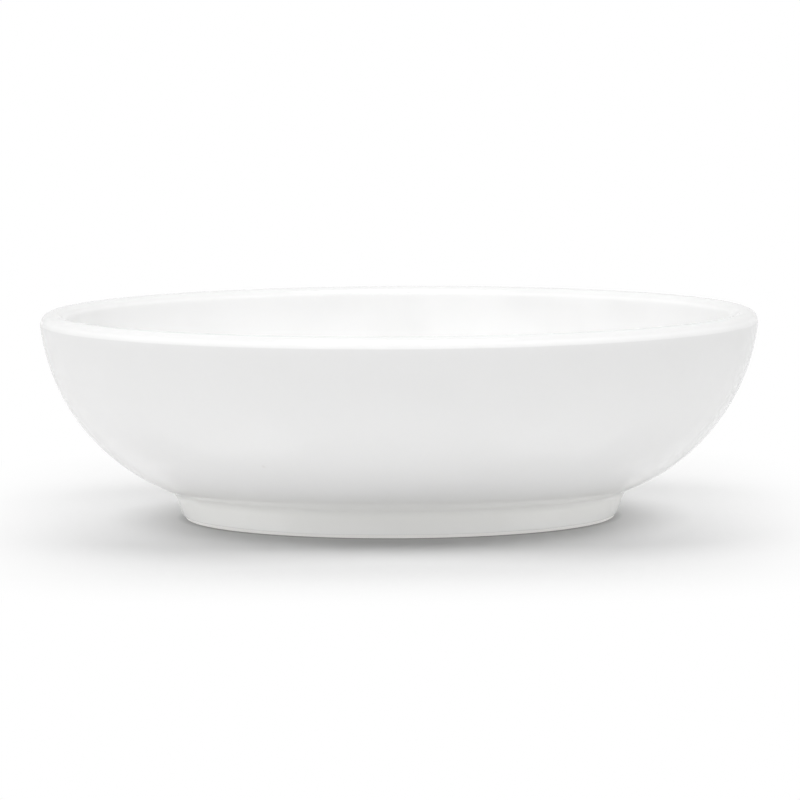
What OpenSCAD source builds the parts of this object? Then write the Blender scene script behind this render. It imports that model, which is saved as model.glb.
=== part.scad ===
// Soy sauce dish: a shallow round porcelain bowl on a low foot ring that leans in towards the table.
// The clay is one fired piece. Its glaze lies in two coats, which the bare rim of the foot keeps apart:
// one over the bowl and the outside of the foot, the other in the recess under the floor.
// The origin is at the centre of the foot, at table height. All sizes are in millimetres.

/* [Bowl] */
// Diameter across the lip
rim_d = 100; // [84:0.5:125]
// Height of the lip above the table
dish_h = 28.8; // [25:0.1:36]
// Thickness of the rounded lip
lip_t = 3.2; // [2.4:0.1:4.4]
// Radius of the wall's curve on the outside
wall_curve_r = 28; // [25:0.1:38]
// Radius of the wall's curve on the inside
bowl_curve_r = 24; // [21:0.1:28]
// Thickness of the floor at its centre
floor_t = 3.2; // [2.6:0.1:5]
// Radius of the floor's shallow hollow on the inside
floor_curve_r = 400; // [150:5:900]

/* [Foot] */
// Diameter of the foot's outside, carried down to the table
foot_d = 60.2; // [48:0.2:70]
// Height at which the foot's outside meets the wall's curve
foot_h = 3.8; // [2.8:0.1:6]
// Lean of the foot's outside from the vertical, in degrees
foot_lean = 20; // [0:1:32]
// Thickness of the foot ring at the table
foot_t = 3.2; // [2.4:0.1:5]
// Radius of the two edges of the foot's bare rim
foot_edge_r = 0.35; // [0.2:0.05:0.5]
// Radius of the clay in the neck between wall and foot
neck_r = 1.6; // [0.8:0.1:2]
// Height of the recess under the floor
recess_h = 2.2; // [1.9:0.1:3.4]
// Lean of the recess's side from the vertical, in degrees
recess_lean = 14; // [0:1:30]
// Radius of the clay in the corner of the recess
recess_r = 0.6; // [0.3:0.1:0.8]

/* [Glaze] */
// Thickness of the glaze
glaze_t = 0.2; // [0.1:0.05:0.4]
// Height of the foot's bare rim, up to the edge of the glaze
bare_h = 0.5; // [0.45:0.05:1]
// How much pooled glaze adds to the radius of an inside corner
pool_r = 0.5; // [0.1:0.1:0.6]

/* [Hidden] */

clay_colour = "#efebe2";
glaze_colour = "#f3f4f2";

// Most that a straight step along an arc may lie off the true curve
chord_error = 0.008;
// Points closer together than this are one point
same_point = 0.0005;
// Sides that a preview draws round the axis
lathe_sides = 180;

lip_r = lip_t / 2;
lip_c = [rim_d / 2 - lip_r, dish_h - lip_r];

// Unit vectors up the foot's outside and out of it
foot_up = [sin(foot_lean), cos(foot_lean)];
foot_out = [cos(foot_lean), -sin(foot_lean)];
// The foot's outside at the table: on the glaze, and on the clay under it
foot_glaze_p = [foot_d / 2, 0];
foot_clay_p = foot_glaze_p - glaze_t * foot_out;

// Unit vectors up the recess's side and out of it, towards the axis
recess_up = [-sin(recess_lean), cos(recess_lean)];
recess_out = [-cos(recess_lean), -sin(recess_lean)];
// The recess's side at the table, on the clay
recess_clay_p = level_point(foot_clay_p, foot_up, 0) - [foot_t, 0];

// The wall's outer curve runs from the lip to the point where it meets the foot
neck_p = level_point(foot_glaze_p, foot_up, foot_h);
wall_c = circles_cross(neck_p, wall_curve_r, lip_c, wall_curve_r - lip_r);

// The wall's inner curve runs from the lip into the hollow of the floor
floor_c = [0, recess_h + floor_t + floor_curve_r];
bowl_c = circles_cross(lip_c, bowl_curve_r + lip_r, floor_c, floor_curve_r - bowl_curve_r);

// Direction of a vector, in degrees
function heading(v) = atan2(v[1], v[0]);

// Point at the given height on the line through p along u
function level_point(p, u, height) = p + (height - p[1]) / u[1] * u;

// Where two circles cross, on the left of the way from the first centre to the second
function circles_cross(c1, r1, c2, r2) =
    let (
        way = c2 - c1,
        d = norm(way),
        along = (d * d + r1 * r1 - r2 * r2) / (2 * d),
        aside = sqrt(r1 * r1 - along * along)
    )
    c1 + (along * way + aside * [-way[1], way[0]]) / d;

// Where the line from p along the unit vector u first meets a circle
function line_meets_circle(p, u, c, r) =
    let (from_c = p - c, lead = from_c * u)
    p - (lead + sqrt(lead * lead - from_c * from_c + r * r)) * u;

// Points along an arc between two directions, both ends included
function arc(c, r, from, to) =
    let (steps = ceil(abs(to - from) / (2 * acos(1 - chord_error / r))))
    [for (i = [0 : steps]) let (a = from + (to - from) * i / steps) c + r * [cos(a), sin(a)]];

function reversed(points) = [for (i = [len(points) - 1 : -1 : 0]) points[i]];

// The points without any that repeats the one before it
function without_repeats(points) =
    [for (i = [0 : len(points) - 1]) if (i == 0 || norm(points[i] - points[i - 1]) > same_point) points[i]];

// Outlines are in the half plane of radius and height. A depth of 0 is the face of the glaze, and a depth of
// glaze_t is the clay under it.

// Inside of the bowl, from the centre of the floor to the top of the lip
function inside(depth) =
    let (floor_end = heading(bowl_c - floor_c), wall_end = heading(lip_c - bowl_c))
    concat(
        arc(floor_c, floor_curve_r + depth, -90, floor_end),
        arc(bowl_c, bowl_curve_r + depth, floor_end, wall_end),
        arc(lip_c, lip_r - depth, wall_end + 180, 90)
    );

// Outside of the bowl, from the top of the lip to the bottom of the fillet in the neck
function outside(depth, fillet_r) =
    let (
        wall_r = wall_curve_r - depth,
        fillet_line_p = foot_glaze_p + (fillet_r - depth) * foot_out,
        fillet_c = line_meets_circle(fillet_line_p, foot_up, wall_c, wall_r + fillet_r),
        wall_start = heading(lip_c - wall_c),
        wall_end = heading(fillet_c - wall_c)
    )
    concat(
        arc(lip_c, lip_r - depth, 90, wall_start),
        arc(wall_c, wall_r, wall_start, wall_end),
        arc(fillet_c, fillet_r, wall_end + 180, 180 - foot_lean)
    );

// Bare rim of the foot, from its outer edge across the flat to its inner edge
function bare_rim() =
    let (
        outer_c = level_point(foot_clay_p - foot_edge_r * foot_out, foot_up, foot_edge_r),
        inner_c = level_point(recess_clay_p - foot_edge_r * recess_out, recess_up, foot_edge_r)
    )
    concat(
        arc(outer_c, foot_edge_r, -foot_lean, -90),
        arc(inner_c, foot_edge_r, -90, recess_lean - 180)
    );

// Recess under the floor, from the bottom of the fillet in its corner to the axis
function recess(depth, fillet_r) =
    let (
        top = recess_h + depth,
        fillet_line_p = recess_clay_p + (glaze_t - depth + fillet_r) * recess_out,
        fillet_c = level_point(fillet_line_p, recess_up, top - fillet_r)
    )
    concat(
        arc(fillet_c, fillet_r, recess_lean, 90),
        [[0, top]]
    );

// Rounded lower edge of the glaze on the foot's outside, from its face to the clay
function coat_edge() =
    let (c = level_point(foot_clay_p, foot_up, bare_h) + glaze_t * foot_up)
    arc(c, glaze_t, -foot_lean, -foot_lean - 90);

// Rounded lower edge of the glaze on the recess's side, from the clay to its face
function base_edge() =
    let (c = level_point(recess_clay_p, recess_up, bare_h) + glaze_t * recess_up)
    arc(c, glaze_t, recess_lean - 90, recess_lean - 180);

module turned(points) {
    rotate_extrude($fn = lathe_sides)
        polygon(without_repeats(points));
}

module porcelain_body() {
    color(clay_colour)
        turned(concat(inside(glaze_t), outside(glaze_t, neck_r), bare_rim(), recess(glaze_t, recess_r)));
}

module glaze_coat() {
    face = concat(inside(0), outside(0, neck_r + pool_r), coat_edge());
    clay = concat(inside(glaze_t), outside(glaze_t, neck_r));
    color(glaze_colour)
        turned(concat(face, reversed(clay)));
}

module base_glaze() {
    face = concat(base_edge(), recess(0, recess_r + pool_r));
    clay = recess(glaze_t, recess_r);
    color(glaze_colour)
        turned(concat(face, reversed(clay)));
}

porcelain_body();
glaze_coat();
base_glaze();
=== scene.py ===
"""Soy sauce dish: a shallow white porcelain bowl on a low foot ring.

The clay is one fired piece with two coats of glaze, which the bare rim of the foot keeps apart. All three
are turned from the outlines that part.scad also uses, here in metres, with finer steps and the slight
unevenness of a fired glaze.
"""
import math

import bpy
from mathutils import Matrix, Vector, noise


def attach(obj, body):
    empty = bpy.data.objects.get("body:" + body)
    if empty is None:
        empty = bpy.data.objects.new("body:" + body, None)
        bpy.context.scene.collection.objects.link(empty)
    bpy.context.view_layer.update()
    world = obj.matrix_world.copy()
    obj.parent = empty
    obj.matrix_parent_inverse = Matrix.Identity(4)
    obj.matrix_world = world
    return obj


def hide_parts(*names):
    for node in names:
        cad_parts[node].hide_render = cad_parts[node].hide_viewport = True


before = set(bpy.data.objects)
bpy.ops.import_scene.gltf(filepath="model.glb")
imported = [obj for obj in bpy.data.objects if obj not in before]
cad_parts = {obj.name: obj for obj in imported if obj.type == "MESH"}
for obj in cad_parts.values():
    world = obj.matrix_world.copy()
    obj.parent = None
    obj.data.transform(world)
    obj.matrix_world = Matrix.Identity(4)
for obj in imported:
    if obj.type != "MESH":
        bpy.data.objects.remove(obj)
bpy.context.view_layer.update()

MM = 0.001

# Bowl, as in part.scad
RIM_D = 100 * MM
DISH_H = 28.8 * MM
LIP_T = 3.2 * MM
WALL_CURVE_R = 28 * MM
BOWL_CURVE_R = 24 * MM
BOWL_FLOOR_T = 3.2 * MM
BOWL_FLOOR_CURVE_R = 400 * MM

# Foot, as in part.scad
FOOT_D = 60.2 * MM
FOOT_H = 3.8 * MM
FOOT_LEAN = math.radians(20)
FOOT_T = 3.2 * MM
FOOT_EDGE_R = 0.35 * MM
NECK_R = 1.6 * MM
RECESS_H = 2.2 * MM
RECESS_LEAN = math.radians(14)
RECESS_R = 0.6 * MM

# Glaze, as in part.scad
GLAZE_T = 0.2 * MM
BARE_H = 0.5 * MM
POOL_R = 0.5 * MM

# Fineness of the turned meshes. Points closer together than SAME_POINT are one point.
SEGMENTS = 240
ARC_TURN = math.radians(5)
STEP = 1.0 * MM
SAME_POINT = 0.001 * MM
SHARP_ANGLE = math.radians(40)

# Sockets of a Mix node that mixes colours, by their place in its lists
MIX_SHARE = 0
MIX_FIRST = 6
MIX_SECOND = 7
MIX_RESULT = 2

# Unevenness of the fired dish: broad waves of its surface, and a wavy line where the glaze was wiped off
# the foot. The line's waves fade out with the height above it.
WAVE_LENGTH = 16 * MM
WAVE_HEIGHT = 0.02 * MM
GLAZE_LINE_WAVE = 0.1 * MM
GLAZE_LINE_TURNS = 4
GLAZE_LINE_FADE = 1.2 * MM

# Camera, fitted to the outline of the dish in the photograph
CAMERA_DISTANCE = 0.95
CAMERA_ELEVATION = math.radians(4.94)
CAMERA_ROLL = math.radians(-0.3)
CAMERA_TARGET = Vector((0.08 * MM, 0, 16.24 * MM))
FRAME_WIDTH = 111.65 * MM
SENSOR_WIDTH = 36

# Floor: a smooth sheet with a weak gloss, with painted shade that darkens it in the crevice under the foot
FLOOR_SIZE = 10
FLOOR_DROP = 0.01 * MM
FLOOR_COLOUR = (0.42, 0.42, 0.42, 1)
CREVICE_SHADE_COLOUR = (0.24, 0.24, 0.24, 1)
CREVICE_REACH = 1.1 * MM
FLOOR_GLOSS_COLOUR = (0.07, 0.07, 0.07, 1)
FLOOR_GLOSS_ROUGHNESS = 0.05

# The floor runs out to pure white between two distances. The way to the left and right counts for more.
FLOOR_STRETCH = (1.7, 1, 1)
FLOOR_WHITE_FROM = 38 * MM
FLOOR_WHITE_TO = 111 * MM
WHITE = (1, 1, 1, 1)
MIRRORED_WHITE = 0.85

# Glow of the floor that lights the dish from below as an added fill, with more of it close round the foot
FLOOR_FILL_GLOW = 0.22
FOOT_FILL_GLOW = 0.41
FOOT_FILL_GLOW_FROM = 30 * MM
FOOT_FILL_GLOW_TO = 38 * MM

# Low light from all round: full up to one height of the sky, none above another, and brighter on the left
RING_LIGHT = 0.92
RING_FULL_TO = 0.4
RING_ENDS_AT = 0.55
RING_LEFT_GAIN = 0.32

# Softboxes: the key lights the dish, and the lamps at the back and the sides light the floor
KEY_PLACE = (0, -0.19, 0.88)
KEY_SIZE = (0.6, 0.4)
KEY_WATTS = 6.7
BACK_LAMP_PLACE = (0, 0.82, 0.57)
BACK_LAMP_SIZE = (1, 0.5)
BACK_LAMP_WATTS = 5.6
SIDE_LAMP_PLACES = {"left": (-0.58, 0, 0.69), "right": (0.58, 0, 0.69)}
SIDE_LAMP_SIZE = (0.6, 0.6)
SIDE_LAMP_WATTS = 8.3

# Glaze: white, with painted light that makes faces that look up whiter, most of all where they are steep,
# with faint cloudiness, a deeper tone where it pooled at the foot, and a few faint specks. How far a face
# looks up is the height of its unit normal.
GLAZE_COLOUR = (0.882, 0.882, 0.88, 1)
GLAZE_STEEP_PAINTED_LIGHT = (0.975, 0.975, 0.973, 1)
GLAZE_LEVEL_PAINTED_LIGHT = (0.908, 0.908, 0.905, 1)
GLAZE_CLOUD_COLOUR = (0.866, 0.866, 0.862, 1)
GLAZE_POOL_COLOUR = (0.874, 0.874, 0.855, 1)
GLAZE_SPECK_COLOUR = (0.6, 0.58, 0.54, 1)
LOOKS_UP_FROM = 0.0
LOOKS_UP_TO = 0.1
STEEP_TO = 0.4
LEVEL_FROM = 0.65
CLOUD_SIZE = 14 * MM
CLOUD_STRENGTH = 0.4
POOL_HEIGHT = 3 * MM
POOL_REACH = 5 * MM
SPECK_SPACING = 9 * MM
SPECK_RADIUS = 0.45 * MM
SPECK_RARITY = 0.93
SPECK_STRENGTH = 0.2
GLAZE_ROUGHNESS = (0.07, 0.13)
SMEAR_SIZE = 9 * MM
RIPPLE_SIZE = 2.2 * MM
RIPPLE_HEIGHT = 0.0015 * MM

# Rings that turning left in the recess under the glaze
TURNING_PITCH = 1.6 * MM
TURNING_WANDER = 0.5 * MM
TURNING_HEIGHT = 0.012 * MM

# Bare clay: fine grain, sanding marks that run round the rim, and a little grime where it stands on tables
CLAY_COLOUR = (0.92, 0.912, 0.895, 1)
CLAY_GRAIN_COLOUR = (0.87, 0.86, 0.842, 1)
CLAY_WORN_COLOUR = (0.76, 0.74, 0.705, 1)
GRAIN_SIZE = 0.18 * MM
GRAIN_HEIGHT = 0.012 * MM
SANDING_PITCH = 0.14 * MM
SANDING_HEIGHT = 0.01 * MM
WEAR_SIZE = 5 * MM
WEAR_HEIGHT = 0.1 * MM
CLAY_ROUGHNESS = (0.66, 0.86)

# Noise: its detail, and the part of its span over which patches come in
NOISE_DETAIL = 2
PATCH_SPAN = (0.4, 0.8)

# Directions and turns
UP = math.pi / 2
HALF_TURN = math.pi
FULL_TURN = 2 * math.pi


def heading(v):
    """Direction of a vector in the plane of radius and height."""
    return math.atan2(v.y, v.x)


def towards(angle):
    """Unit vector in a direction."""
    return Vector((math.cos(angle), math.sin(angle)))


def level_point(p, u, height):
    """Point at a height on the line through p along u."""
    return p + (height - p.y) / u.y * u


def circles_cross(c1, r1, c2, r2):
    """Where two circles cross, on the left of the way from the first centre to the second."""
    way = c2 - c1
    d = way.length
    along = (d * d + r1 * r1 - r2 * r2) / (2 * d)
    aside = math.sqrt(r1 * r1 - along * along)
    return c1 + (along * way + aside * Vector((-way.y, way.x))) / d


def line_meets_circle(p, u, c, r):
    """Where the line from p along the unit vector u first meets a circle."""
    from_c = p - c
    lead = from_c.dot(u)
    return p - (lead + math.sqrt(lead * lead - from_c.length_squared + r * r)) * u


def arc(c, r, start, end):
    """Points along an arc between two directions, both ends included."""
    sweep = abs(end - start)
    steps = math.ceil(max(sweep / ARC_TURN, sweep * r / STEP))
    return [c + r * towards(start + (end - start) * i / steps) for i in range(steps + 1)]


def with_steps(points):
    """The outline with points added along its long straight stretches, and none that repeats the last."""
    out = [points[0]]
    for p in points[1:]:
        way = p - out[-1]
        if way.length < SAME_POINT:
            continue
        steps = math.ceil(way.length / (STEP + SAME_POINT))
        begin = out[-1]
        out += [begin + way * i / steps for i in range(1, steps + 1)]
    return out


LIP_R = LIP_T / 2
LIP_C = Vector((RIM_D / 2 - LIP_R, DISH_H - LIP_R))

# Unit vectors up the foot's outside and out of it, and its point at the table, on the glaze and the clay
FOOT_UP = Vector((math.sin(FOOT_LEAN), math.cos(FOOT_LEAN)))
FOOT_OUT = Vector((math.cos(FOOT_LEAN), -math.sin(FOOT_LEAN)))
FOOT_GLAZE_P = Vector((FOOT_D / 2, 0))
FOOT_CLAY_P = FOOT_GLAZE_P - GLAZE_T * FOOT_OUT

# Unit vectors up the recess's side and out of it, towards the axis, and its point at the table, on the clay
RECESS_UP = Vector((-math.sin(RECESS_LEAN), math.cos(RECESS_LEAN)))
RECESS_OUT = Vector((-math.cos(RECESS_LEAN), -math.sin(RECESS_LEAN)))
RECESS_CLAY_P = level_point(FOOT_CLAY_P, FOOT_UP, 0) - Vector((FOOT_T, 0))

# Centres of the wall's outer curve, of the floor's hollow and of the wall's inner curve
NECK_P = level_point(FOOT_GLAZE_P, FOOT_UP, FOOT_H)
WALL_C = circles_cross(NECK_P, WALL_CURVE_R, LIP_C, WALL_CURVE_R - LIP_R)
BOWL_FLOOR_C = Vector((0, RECESS_H + BOWL_FLOOR_T + BOWL_FLOOR_CURVE_R))
BOWL_C = circles_cross(LIP_C, BOWL_CURVE_R + LIP_R, BOWL_FLOOR_C, BOWL_FLOOR_CURVE_R - BOWL_CURVE_R)


def inside(depth):
    """Inside of the bowl, from the centre of its floor to the top of the lip."""
    floor_end = heading(BOWL_C - BOWL_FLOOR_C)
    wall_end = heading(LIP_C - BOWL_C)
    return [
        *arc(BOWL_FLOOR_C, BOWL_FLOOR_CURVE_R + depth, -UP, floor_end),
        *arc(BOWL_C, BOWL_CURVE_R + depth, floor_end, wall_end),
        *arc(LIP_C, LIP_R - depth, wall_end + HALF_TURN, UP),
    ]


def outside(depth, fillet_r):
    """Outside of the bowl, from the top of the lip to the bottom of the fillet in the neck."""
    wall_r = WALL_CURVE_R - depth
    fillet_line_p = FOOT_GLAZE_P + (fillet_r - depth) * FOOT_OUT
    fillet_c = line_meets_circle(fillet_line_p, FOOT_UP, WALL_C, wall_r + fillet_r)
    wall_start = heading(LIP_C - WALL_C)
    wall_end = heading(fillet_c - WALL_C)
    return [
        *arc(LIP_C, LIP_R - depth, UP, wall_start),
        *arc(WALL_C, wall_r, wall_start, wall_end),
        *arc(fillet_c, fillet_r, wall_end + HALF_TURN, HALF_TURN - FOOT_LEAN),
    ]


def bare_rim():
    """Bare rim of the foot, from its outer edge across the flat to its inner edge."""
    outer_c = level_point(FOOT_CLAY_P - FOOT_EDGE_R * FOOT_OUT, FOOT_UP, FOOT_EDGE_R)
    inner_c = level_point(RECESS_CLAY_P - FOOT_EDGE_R * RECESS_OUT, RECESS_UP, FOOT_EDGE_R)
    return [
        *arc(outer_c, FOOT_EDGE_R, -FOOT_LEAN, -UP),
        *arc(inner_c, FOOT_EDGE_R, -UP, RECESS_LEAN - HALF_TURN),
    ]


def recess(depth, fillet_r):
    """Recess under the floor, from the bottom of the fillet in its corner to the axis."""
    top = RECESS_H + depth
    fillet_line_p = RECESS_CLAY_P + (GLAZE_T - depth + fillet_r) * RECESS_OUT
    fillet_c = level_point(fillet_line_p, RECESS_UP, top - fillet_r)
    return [*arc(fillet_c, fillet_r, RECESS_LEAN, UP), Vector((0, top))]


def coat_edge():
    """Rounded lower edge of the glaze on the foot's outside, from its face to the clay."""
    c = level_point(FOOT_CLAY_P, FOOT_UP, BARE_H) + GLAZE_T * FOOT_UP
    return arc(c, GLAZE_T, -FOOT_LEAN, -FOOT_LEAN - UP)


def base_edge():
    """Rounded lower edge of the glaze on the recess's side, from the clay to its face."""
    c = level_point(RECESS_CLAY_P, RECESS_UP, BARE_H) + GLAZE_T * RECESS_UP
    return arc(c, GLAZE_T, RECESS_LEAN - UP, RECESS_LEAN - HALF_TURN)


def clay_outline():
    """The clay all round, from the bowl's centre to the recess's."""
    return [
        *inside(GLAZE_T),
        *outside(GLAZE_T, NECK_R),
        *bare_rim(),
        *recess(GLAZE_T, RECESS_R),
    ]


def coat_outline():
    """The coat over the bowl and the foot: down its face, and back along the clay."""
    face = [*inside(0), *outside(0, NECK_R + POOL_R), *coat_edge()]
    clay = [*inside(GLAZE_T), *outside(GLAZE_T, NECK_R)]
    return [*face, *reversed(clay)]


def base_outline():
    """The coat in the recess: along its face to the axis, back along the clay, and closed at its edge."""
    face = [*base_edge(), *recess(0, RECESS_R + POOL_R)]
    clay = recess(GLAZE_T, RECESS_R)
    return [*face, *reversed(clay), base_edge()[0]]


def turned_points(outline):
    """The points made by turning an outline about the Z axis, and rings of their numbers."""
    vertices = []
    rings = []
    for p in with_steps(outline):
        first = len(vertices)
        count = 1 if p.x < SAME_POINT else SEGMENTS
        for i in range(count):
            across = p.x * towards(FULL_TURN * i / SEGMENTS)
            vertices.append((across.x, across.y, p.y))
        rings.append([first + i % count for i in range(SEGMENTS + 1)])
    return vertices, rings


def faces_between(rings):
    """Faces from each ring to the next, with four corners, or three at the axis."""
    faces = []
    for a, b in zip(rings, rings[1:]):
        for i in range(SEGMENTS):
            corners = list(dict.fromkeys([a[i], b[i], b[i + 1], a[i + 1]]))
            if len(corners) > 2:
                faces.append(corners)
    return faces


def turned(name, outline):
    """A closed mesh made by turning an outline about the Z axis."""
    vertices, rings = turned_points(outline)
    first, last = rings[0][0], rings[-1][0]
    # An outline that ends where it began has one ring of points there
    if (Vector(vertices[first]) - Vector(vertices[last])).length < SAME_POINT:
        del vertices[last:]
        rings[-1] = rings[0]
    mesh = bpy.data.meshes.new(name)
    mesh.from_pydata(vertices, [], faces_between(rings))
    mesh.shade_smooth()
    mesh.set_sharp_from_angle(angle=SHARP_ANGLE)
    return mesh


def make_uneven(mesh):
    """Gives a turned mesh the broad, very low waves of a fired dish, down to none at the table."""
    normals = [vertex.normal.copy() for vertex in mesh.vertices]
    for vertex, normal in zip(mesh.vertices, normals):
        wave = noise.noise(vertex.co / WAVE_LENGTH) * min(1, vertex.co.z / FOOT_H)
        vertex.co += WAVE_HEIGHT * wave * normal


def make_glaze_line_wavy(mesh):
    """Slides the glaze's lower edge up and down the foot, as wiping by hand leaves it."""
    for vertex in mesh.vertices:
        across = vertex.co.to_2d()
        if across.length < FOOT_D / 2 - FOOT_T:
            continue
        share = 1 - (vertex.co.z - BARE_H) / GLAZE_LINE_FADE
        if share <= 0:
            continue
        out = across.normalized()
        slide = GLAZE_LINE_WAVE * noise.noise((GLAZE_LINE_TURNS * out).to_3d()) * min(1, share)
        vertex.co += slide * Vector((FOOT_UP.x * out.x, FOOT_UP.x * out.y, FOOT_UP.y))


def add_piece(name, node, mesh, material):
    """Puts a mesh into the scene in the place of a CAD node."""
    piece = bpy.data.objects.new(name, mesh)
    bpy.context.scene.collection.objects.link(piece)
    mesh.materials.append(material)
    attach(piece, "root")
    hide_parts(node)
    return piece


def add_node(tree, kind, inputs=None, **settings):
    """A new shader node. An input is a constant, or another node's output, which is linked to it."""
    node = tree.nodes.new(kind)
    for name, value in settings.items():
        setattr(node, name, value)
    for name, value in (inputs or {}).items():
        if isinstance(value, bpy.types.NodeSocket):
            tree.links.new(value, node.inputs[name])
        else:
            node.inputs[name].default_value = value
    return node


def new_material(name):
    """An empty node material, with its tree."""
    material = bpy.data.materials.new(name)
    material.use_nodes = True
    material.node_tree.nodes.clear()
    return material, material.node_tree


def set_surface(tree, shader):
    """Links a shader to the tree's output."""
    add_node(tree, "ShaderNodeOutputMaterial", {"Surface": shader.outputs[0]})


def object_place(tree):
    """Place on the object, in metres."""
    return add_node(tree, "ShaderNodeTexCoord").outputs["Object"]


def object_facing(tree):
    """Direction that the surface faces, in the object's frame."""
    return add_node(tree, "ShaderNodeTexCoord").outputs["Normal"]


def clouds(tree, place, size):
    """Noise from 0 to 1 whose features have about the given size."""
    inputs = {"Vector": place, "Scale": 1 / size, "Detail": NOISE_DETAIL}
    return add_node(tree, "ShaderNodeTexNoise", inputs).outputs[0]


def ramp(tree, value, start, end, low=0.0, high=1.0):
    """Carries a value that goes from start to end smoothly from low to high."""
    inputs = {"Value": value, "From Min": start, "From Max": end, "To Min": low, "To Max": high}
    return add_node(tree, "ShaderNodeMapRange", inputs, interpolation_type="SMOOTHSTEP").outputs[0]


def calculate(tree, operation, first, second=0.0):
    """Result of one sum on one or two values."""
    return add_node(tree, "ShaderNodeMath", {0: first, 1: second}, operation=operation).outputs[0]


def blend(tree, share, first, second):
    """Colour between two colours."""
    inputs = {MIX_SHARE: share, MIX_FIRST: first, MIX_SECOND: second}
    return add_node(tree, "ShaderNodeMix", inputs, data_type="RGBA").outputs[MIX_RESULT]


def bumped(tree, height, depth):
    """Normal of a surface that rises by a depth where the height goes from 0 to 1."""
    return add_node(tree, "ShaderNodeBump", {"Height": height, "Distance": depth}).outputs["Normal"]


def radius_and_height(tree, place):
    """Distance from the axis, and height above the table."""
    split = add_node(tree, "ShaderNodeSeparateXYZ", {0: place}).outputs
    across = add_node(tree, "ShaderNodeCombineXYZ", {"X": split["X"], "Y": split["Y"]})
    radius = add_node(tree, "ShaderNodeVectorMath", {0: across.outputs[0]}, operation="LENGTH")
    return radius.outputs["Value"], split["Z"]


def specks(tree, place):
    """1 on a few small spots and 0 elsewhere."""
    inputs = {"Vector": place, "Scale": 1 / SPECK_SPACING}
    cells = add_node(tree, "ShaderNodeTexVoronoi", inputs).outputs
    spot = ramp(tree, cells["Distance"], SPECK_RADIUS / SPECK_SPACING, 0.0)
    pick = add_node(tree, "ShaderNodeSeparateColor", {0: cells["Color"]}).outputs["Red"]
    return calculate(tree, "MULTIPLY", spot, calculate(tree, "GREATER_THAN", pick, SPECK_RARITY))


def glaze_colour(tree, place, height):
    """White, with painted light by how far a face looks up, faint clouds, a deeper tone at the foot and a
    few specks.
    """
    facing = add_node(tree, "ShaderNodeSeparateXYZ", {0: object_facing(tree)}).outputs["Z"]
    # Painted light: faces that look up get a whiter colour, most of all where they are steep
    painted_upward_light = blend(tree, ramp(tree, facing, STEEP_TO, LEVEL_FROM), GLAZE_STEEP_PAINTED_LIGHT, GLAZE_LEVEL_PAINTED_LIGHT)
    ground = blend(tree, ramp(tree, facing, LOOKS_UP_FROM, LOOKS_UP_TO), GLAZE_COLOUR, painted_upward_light)
    cloud = ramp(tree, clouds(tree, place, CLOUD_SIZE), *PATCH_SPAN, 0.0, CLOUD_STRENGTH)
    cloudy = blend(tree, cloud, ground, GLAZE_CLOUD_COLOUR)
    from_pool = calculate(tree, "ABSOLUTE", calculate(tree, "SUBTRACT", height, POOL_HEIGHT))
    pooled = blend(tree, ramp(tree, from_pool, POOL_REACH, 0.0), cloudy, GLAZE_POOL_COLOUR)
    speck = calculate(tree, "MULTIPLY", specks(tree, place), SPECK_STRENGTH)
    return blend(tree, speck, pooled, GLAZE_SPECK_COLOUR)


def glaze_shader(tree, place, height, normal):
    """White gloss glaze with faint smears, over a fine relief."""
    smears = clouds(tree, place, SMEAR_SIZE)
    return add_node(tree, "ShaderNodeBsdfPrincipled", {
        "Base Color": glaze_colour(tree, place, height),
        "Roughness": ramp(tree, smears, 0.0, 1.0, *GLAZE_ROUGHNESS),
        "Normal": normal,
    })


def glaze_material():
    """The glaze over the bowl, with the faint ripple of a fired coat."""
    material, tree = new_material("white_glaze")
    place = object_place(tree)
    height = radius_and_height(tree, place)[1]
    ripple = bumped(tree, clouds(tree, place, RIPPLE_SIZE), RIPPLE_HEIGHT)
    set_surface(tree, glaze_shader(tree, place, height, ripple))
    return material


def recess_glaze_material():
    """The same glaze in the recess, where rings from turning the foot show through it."""
    material, tree = new_material("recess_glaze")
    place = object_place(tree)
    radius, height = radius_and_height(tree, place)
    wander = calculate(tree, "MULTIPLY", clouds(tree, place, CLOUD_SIZE), TURNING_WANDER)
    wandering = calculate(tree, "ADD", radius, wander)
    rings = calculate(tree, "SINE", calculate(tree, "MULTIPLY", wandering, FULL_TURN / TURNING_PITCH))
    set_surface(tree, glaze_shader(tree, place, height, bumped(tree, rings, TURNING_HEIGHT)))
    return material


def clay_colour(tree, place, height, grain):
    """Pale clay with a fine grain, and patches of grime where it stands."""
    grainy = blend(tree, grain, CLAY_COLOUR, CLAY_GRAIN_COLOUR)
    stood_on = ramp(tree, height, WEAR_HEIGHT, 0.0)
    patches = ramp(tree, clouds(tree, place, WEAR_SIZE), *PATCH_SPAN)
    worn = calculate(tree, "MULTIPLY", stood_on, patches)
    return blend(tree, worn, grainy, CLAY_WORN_COLOUR)


def clay_relief(tree, radius, grain):
    """Normal of clay with sanding marks round the rim, and the grain on top of them."""
    marks = {"W": radius, "Scale": 1 / SANDING_PITCH}
    sanding = add_node(tree, "ShaderNodeTexNoise", marks, noise_dimensions="1D").outputs[0]
    sanded = bumped(tree, sanding, SANDING_HEIGHT)
    inputs = {"Height": grain, "Distance": GRAIN_HEIGHT, "Normal": sanded}
    return add_node(tree, "ShaderNodeBump", inputs).outputs["Normal"]


def clay_material():
    """Bare fired porcelain, which shows on the foot's rim."""
    material, tree = new_material("bare_porcelain")
    place = object_place(tree)
    radius, height = radius_and_height(tree, place)
    grain = clouds(tree, place, GRAIN_SIZE)
    shader = add_node(tree, "ShaderNodeBsdfPrincipled", {
        "Base Color": clay_colour(tree, place, height, grain),
        "Roughness": ramp(tree, grain, 0.0, 1.0, *CLAY_ROUGHNESS),
        "Normal": clay_relief(tree, radius, grain),
    })
    set_surface(tree, shader)
    return material


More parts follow.
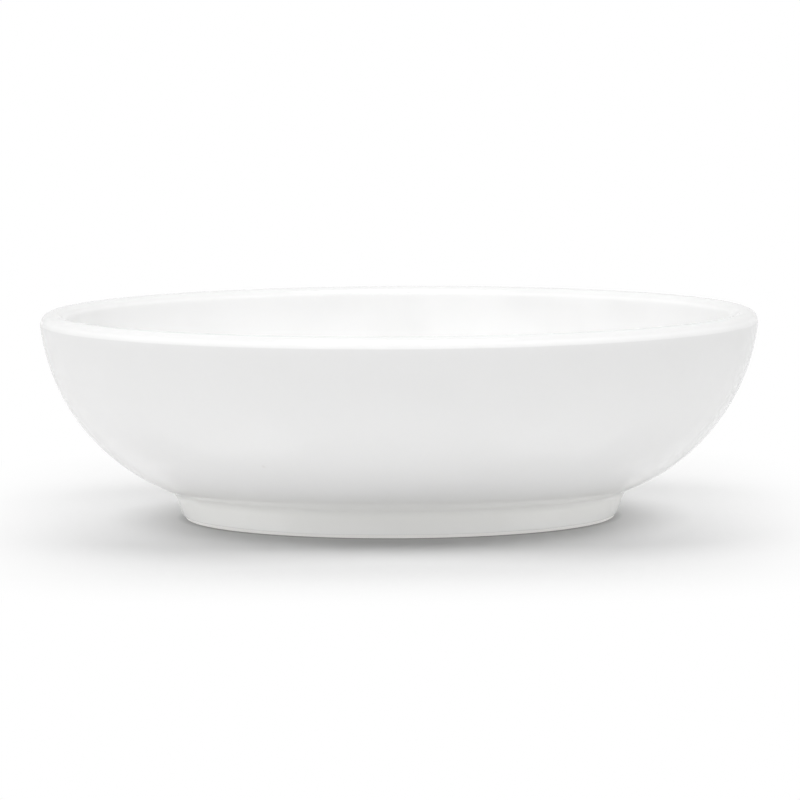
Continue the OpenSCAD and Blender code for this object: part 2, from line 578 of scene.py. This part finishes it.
def add_dish():
    """The clay and its two coats of glaze."""
    clay = turned("clay_body", clay_outline())
    coat = turned("outer_glaze", coat_outline())
    base = turned("recess_glaze", base_outline())
    for mesh in (clay, coat, base):
        make_uneven(mesh)
    make_glaze_line_wavy(coat)
    return [
        add_piece("clay_body", "porcelain_body", clay, clay_material()),
        add_piece("outer_glaze", "glaze_coat", coat, glaze_material()),
        add_piece("recess_glaze", "base_glaze", base, recess_glaze_material()),
    ]


def seen(tree):
    """1 for rays that show the background: to the camera, and through mirroring and clear surfaces."""
    ray = add_node(tree, "ShaderNodeLightPath").outputs
    mirrored = calculate(tree, "MAXIMUM", ray["Is Glossy Ray"], ray["Is Transmission Ray"])
    return calculate(tree, "MAXIMUM", ray["Is Camera Ray"], mirrored)


def white_level(tree):
    """Strength of the white background: full to the camera, and a little less where it is mirrored."""
    to_camera = add_node(tree, "ShaderNodeLightPath").outputs["Is Camera Ray"]
    return calculate(tree, "MAXIMUM", to_camera, MIRRORED_WHITE)


def distance_from_dish(tree):
    """Distance across the floor, stretched to the left and right, with contours like rounded boxes."""
    inputs = {0: object_place(tree), 1: FLOOR_STRETCH}
    wide = add_node(tree, "ShaderNodeVectorMath", inputs, operation="MULTIPLY").outputs["Vector"]
    squared = add_node(tree, "ShaderNodeVectorMath", {0: wide, 1: wide}, operation="MULTIPLY")
    inputs = {0: squared.outputs["Vector"]}
    length = add_node(tree, "ShaderNodeVectorMath", inputs, operation="LENGTH").outputs["Value"]
    return calculate(tree, "SQRT", length)


def floor_sheet(tree):
    """The floor near the dish: matte with a weak gloss, and painted shade that darkens it in the crevice
    under the foot.
    """
    # Painted shade: the floor's colour goes darker where the foot crowds it
    open_share = add_node(tree, "ShaderNodeAmbientOcclusion", {"Distance": CREVICE_REACH}).outputs["AO"]
    colour = blend(tree, open_share, CREVICE_SHADE_COLOUR, FLOOR_COLOUR)
    matte = add_node(tree, "ShaderNodeBsdfDiffuse", {"Color": colour}).outputs[0]
    gloss_look = {"Color": FLOOR_GLOSS_COLOUR, "Roughness": FLOOR_GLOSS_ROUGHNESS}
    gloss = add_node(tree, "ShaderNodeBsdfGlossy", gloss_look).outputs[0]
    return add_node(tree, "ShaderNodeAddShader", {0: matte, 1: gloss}).outputs[0]


def floor_fill_glow(tree):
    """Glow of the floor, an added fill light that only the dish's matte shading sees."""
    to_matte = add_node(tree, "ShaderNodeLightPath").outputs["Is Diffuse Ray"]
    radius = radius_and_height(tree, object_place(tree))[0]
    level = ramp(tree, radius, FOOT_FILL_GLOW_FROM, FOOT_FILL_GLOW_TO, FOOT_FILL_GLOW, FLOOR_FILL_GLOW)
    strength = calculate(tree, "MULTIPLY", to_matte, level)
    return add_node(tree, "ShaderNodeEmission", {"Strength": strength}).outputs[0]


def floor_material():
    """A smooth pale sheet that keeps the dish's shadow and is pure white away from it."""
    material, tree = new_material("white_floor")
    material.cycles.emission_sampling = "NONE"
    near = add_node(tree, "ShaderNodeAddShader", {0: floor_sheet(tree), 1: floor_fill_glow(tree)}).outputs[0]
    white_look = {"Color": WHITE, "Strength": white_level(tree)}
    white = add_node(tree, "ShaderNodeEmission", white_look).outputs[0]
    far = ramp(tree, distance_from_dish(tree), FLOOR_WHITE_FROM, FLOOR_WHITE_TO)
    share = calculate(tree, "MULTIPLY", seen(tree), far)
    set_surface(tree, add_node(tree, "ShaderNodeMixShader", {0: share, 1: near, 2: white}))
    return material


def add_floor():
    """The floor that the dish stands on."""
    half = FLOOR_SIZE / 2
    corners = [(-half, -half, 0), (half, -half, 0), (half, half, 0), (-half, half, 0)]
    mesh = bpy.data.meshes.new("floor")
    mesh.from_pydata(corners, [], [(0, 1, 2, 3)])
    mesh.materials.append(floor_material())
    floor = bpy.data.objects.new("floor", mesh)
    floor.location.z = -FLOOR_DROP
    bpy.context.scene.collection.objects.link(floor)
    return floor


def add_world():
    """Soft light from low all round, and a white background."""
    world = bpy.data.worlds.new("studio")
    bpy.context.scene.world = world
    world.use_nodes = True
    tree = world.node_tree
    tree.nodes.clear()
    way = add_node(tree, "ShaderNodeTexCoord").outputs["Generated"]
    split = add_node(tree, "ShaderNodeSeparateXYZ", {0: way}).outputs
    level = ramp(tree, split["Z"], RING_FULL_TO, RING_ENDS_AT, RING_LIGHT, 0.0)
    leftward = ramp(tree, split["X"], 0.0, -1.0, 1.0, 1.0 + RING_LEFT_GAIN)
    strength = calculate(tree, "MULTIPLY", level, leftward)
    ring = add_node(tree, "ShaderNodeBackground", {"Color": WHITE, "Strength": strength})
    white = add_node(tree, "ShaderNodeBackground", {"Color": WHITE, "Strength": white_level(tree)})
    sky = add_node(tree, "ShaderNodeMixShader", {0: seen(tree), 1: ring.outputs[0], 2: white.outputs[0]})
    add_node(tree, "ShaderNodeOutputWorld", {"Surface": sky.outputs[0]})


def add_softbox(name, place, size, watts, lit):
    """A soft area lamp that faces the dish and lights only the given objects."""
    light = bpy.data.lights.new(name, "AREA")
    light.shape = "RECTANGLE"
    light.size, light.size_y = size
    light.energy = watts
    lamp = bpy.data.objects.new(name, light)
    lamp.location = place
    lamp.rotation_euler = (-lamp.location).to_track_quat("-Z", "Y").to_euler()
    lamp.visible_camera = False
    receivers = bpy.data.collections.new(name)
    for thing in lit:
        receivers.objects.link(thing)
    lamp.light_linking.receiver_collection = receivers
    bpy.context.scene.collection.objects.link(lamp)


def add_camera():
    """The camera at the photograph's viewing angle."""
    data = bpy.data.cameras.new("camera")
    data.sensor_width = SENSOR_WIDTH
    data.lens = SENSOR_WIDTH * CAMERA_DISTANCE / FRAME_WIDTH
    data.clip_end = FLOOR_SIZE
    camera = bpy.data.objects.new("camera", data)
    back = Vector((0, -math.cos(CAMERA_ELEVATION), math.sin(CAMERA_ELEVATION)))
    turn = (-back).to_track_quat("-Z", "Y").to_matrix().to_4x4()
    place = Matrix.Translation(CAMERA_TARGET + CAMERA_DISTANCE * back)
    camera.matrix_world = place @ turn @ Matrix.Rotation(CAMERA_ROLL, 4, "Z")
    bpy.context.scene.collection.objects.link(camera)
    bpy.context.scene.camera = camera


add_camera()
dish = add_dish()
floor = add_floor()
add_world()
add_softbox("key", KEY_PLACE, KEY_SIZE, KEY_WATTS, dish)
add_softbox("back_lamp", BACK_LAMP_PLACE, BACK_LAMP_SIZE, BACK_LAMP_WATTS, [floor])
for side, side_place in SIDE_LAMP_PLACES.items():
    add_softbox("side_lamp_" + side, side_place, SIDE_LAMP_SIZE, SIDE_LAMP_WATTS, [floor])
bpy.context.scene.view_settings.view_transform = "Standard"
